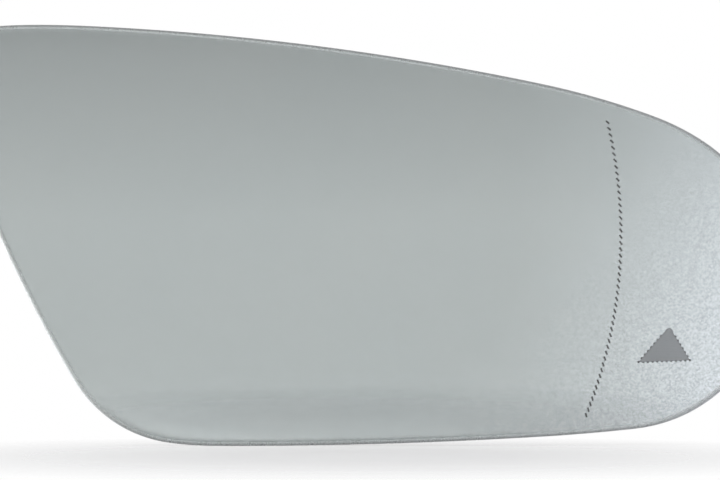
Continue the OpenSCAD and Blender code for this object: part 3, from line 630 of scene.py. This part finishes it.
def dotCutter():
    bm = bmesh.new()
    corners = [Vector((x, 0, z)) * mm for x, z in sign["corners"]]
    tip = Vector((sign["tip"][0], 0, sign["tip"][1])) * mm
    for start, end in zip(corners[1:], corners[2:] + corners[:1]):  # along all sides but the blunt tip
        count = round((end - start).length / mm / sign["dotPitch"])
        for step in range(count):
            place = start + (end - start) * step / count
            if (place - tip).length > (sign["tipRadius"] + sign["dotRadius"]) * mm:
                addDisc(bm, place, sign["dotRadius"], sign["dotSides"])
    return bm


def tipCutter():
    bm = bmesh.new()
    addDisc(bm, Vector((sign["tip"][0], 0, sign["tip"][1])) * mm, sign["tipRadius"], sign["tipSides"])
    return bm


def cutFlat(bm, cutters):
    work = bpy.data.objects.new("work", bpy.data.meshes.new("work"))
    bm.to_mesh(work.data)
    bm.free()
    bpy.context.scene.collection.objects.link(work)
    tools = []
    for number, cutter in enumerate(cutters):
        tool = bpy.data.objects.new("cutter", bpy.data.meshes.new("cutter"))
        cutter.to_mesh(tool.data)
        cutter.free()
        bpy.context.scene.collection.objects.link(tool)
        cut = work.modifiers.new("cut" + str(number), "BOOLEAN")
        cut.operation = "DIFFERENCE"
        cut.solver = "EXACT"
        cut.use_self = False
        cut.object = tool
        tools.append(tool)
    result = bmesh.new()
    result.from_object(work, bpy.context.evaluated_depsgraph_get())
    for thing in [work, *tools]:
        data = thing.data
        bpy.data.objects.remove(thing)
        bpy.data.meshes.remove(data)
    return result


cutters = [dashCutter(), signCutter(), tipCutter(), dotCutter()]
coat = cutFlat(flatPlate(layer["inset"], layer["thickness"], layer["rings"]), cutters)
for e in coat.edges:
    e.smooth = e.calc_face_angle(0) < layer["sharpAngle"]
for f in coat.faces:
    f.smooth = True
bendToFace(coat, pane["thickness"] + layer["gap"])
layerMaterials = [reflectingLayer(layerLook)]
coatPiece = newPiece(coat, "reflectingLayer", layerMaterials, "mirror_coating")
print("reflecting layer made:", len(coatPiece.data.polygons), "faces")


# Floor and light

studio = {
    "floorGap": 0.011, "floorSize": 2000,  # mm, the gap under the glass's lowest point
    "floorColour": (0.80, 0.80, 0.80), "floorRoughness": 0.9, "floorShine": 0.1,
    "fadeCentre": 65, "fadeDeep": 1.2,  # mm and share: the floor runs out into the white backdrop in an oval
    "fadeFrom": 62, "fadeTo": 142, "fadeLeast": 0.5,
    "glowColour": (0.97, 0.985, 1.10),
    "lampPower": 8.0, "lampSize": 0.8, "lampPlace": (-1.2, -0.9, 0.35),  # W and m
}
# The light by direction: each part is a product of ramps, each along its own axis, and the parts are added
sideBand = (("Z", 0.05, 0.2, 1.0, 0.0), ("Z", -0.8, -0.5, 0.0, 1.0))  # the side panels' top and foot
softLight = {
    "ahead": (("Z", 0.01, 0.14, 1.0, 0.68),),
    "aboveAhead": (("Z", 0.12, 0.22, 0.0, -0.48),),
    "overhead": (("Z", 0.6, 0.85, 0.0, 0.5),),
    "rightGlow": (("X", 0.10, 0.45, 0.0, 1.0), ("Z", -0.10, 0.02, 0.8, 0.5)),
    "rightPanel": (("X", 0.3, 0.6, 0.0, 2.6), ("X", 0.6, 0.7, 1.0, 0.0), *sideBand),
    "leftPanel": (("X", -0.6, -0.3, 3.8, 0.0), ("Y", -0.6, -0.3, 0.0, 1.0), *sideBand),
    "lowPanel": (
        ("Z", -0.10, -0.125, 0.0, 0.6), ("Z", -0.17, -0.135, 0.0, 1.0),
        ("X", 0.04, 0.16, 1.0, 0.0), ("Y", -0.9, -0.5, 1.0, 0.0),
    ),
    "below": (("Z", -0.14, -0.20, 0.0, -0.75),),
}


def makeFloor():
    bm = bmesh.new()
    bmesh.ops.create_grid(bm, x_segments=1, y_segments=1, size=studio["floorSize"] * mm / 2)
    bmesh.ops.translate(bm, vec=(0, 0, cadBox[0][2] - studio["floorGap"] * mm), verts=bm.verts)
    mesh = bpy.data.meshes.new("studioFloor")
    bm.to_mesh(mesh)
    bm.free()
    floor = bpy.data.objects.new("studioFloor", mesh)
    bpy.context.scene.collection.objects.link(floor)
    material, tree, shader = newMaterial("paleFloor")
    fill(tree, shader, {
        "Base Color": shade(studio["floorColour"]),
        "Roughness": studio["floorRoughness"],
        "Specular IOR Level": studio["floorShine"],
    })
    deep = studio["fadeDeep"]
    shifted = addNode(tree, "ShaderNodeMapping", {
        "Vector": addNode(tree, "ShaderNodeTexCoord").outputs["Object"],
        "Location": (0, studio["fadeCentre"] * deep * mm, 0),
        "Scale": (1, deep, 1),
    }).outputs["Vector"]
    away = addNode(tree, "ShaderNodeVectorMath", {0: shifted}, operation="LENGTH").outputs["Value"]
    fade = spread(tree, away, studio["fadeFrom"] * mm, studio["fadeTo"] * mm, studio["fadeLeast"], 1.0)
    nothing = addNode(tree, "ShaderNodeBsdfTransparent").outputs["BSDF"]
    mixed = addNode(tree, "ShaderNodeMixShader", {0: fade, 1: shader.outputs["BSDF"], 2: nothing})
    fill(tree, tree.nodes["Material Output"], {"Surface": mixed.outputs["Shader"]})
    mesh.materials.append(material)


def makeWorld():
    world = bpy.data.worlds.new("softStudio")
    bpy.context.scene.world = world
    world.use_nodes = True
    tree = world.node_tree
    direction = addNode(tree, "ShaderNodeTexCoord").outputs["Generated"]
    parts = addNode(tree, "ShaderNodeSeparateXYZ", {"Vector": direction}).outputs
    levels = {}
    for name, ramps in softLight.items():
        factors = [spread(tree, parts[axis], *ramp) for axis, *ramp in ramps]
        levels[name] = chain(tree, "MULTIPLY", factors)
    tone = blend(tree, levels["rightGlow"], (1, 1, 1, 1), shade(studio["glowColour"]))
    strength = chain(tree, "ADD", list(levels.values()))
    soft = addNode(tree, "ShaderNodeBackground", {"Color": tone, "Strength": strength})
    white = addNode(tree, "ShaderNodeBackground", {"Color": (1, 1, 1, 1), "Strength": 1.0})
    seen = addNode(tree, "ShaderNodeLightPath").outputs["Is Camera Ray"]
    mixed = addNode(tree, "ShaderNodeMixShader", {
        0: seen, 1: soft.outputs["Background"], 2: white.outputs["Background"],
    })
    fill(tree, tree.nodes["World Output"], {"Surface": mixed.outputs["Shader"]})


def makeLamp():
    data = bpy.data.lights.new("softLamp", "AREA")
    data.shape = "DISK"
    data.size = studio["lampSize"]
    data.energy = studio["lampPower"]
    lamp = bpy.data.objects.new("softLamp", data)
    lamp.location = studio["lampPlace"]
    lamp.rotation_euler = (-lamp.location).to_track_quat("-Z", "Y").to_euler()
    bpy.context.scene.collection.objects.link(lamp)


makeFloor()
makeWorld()
makeLamp()
print("studio lit")
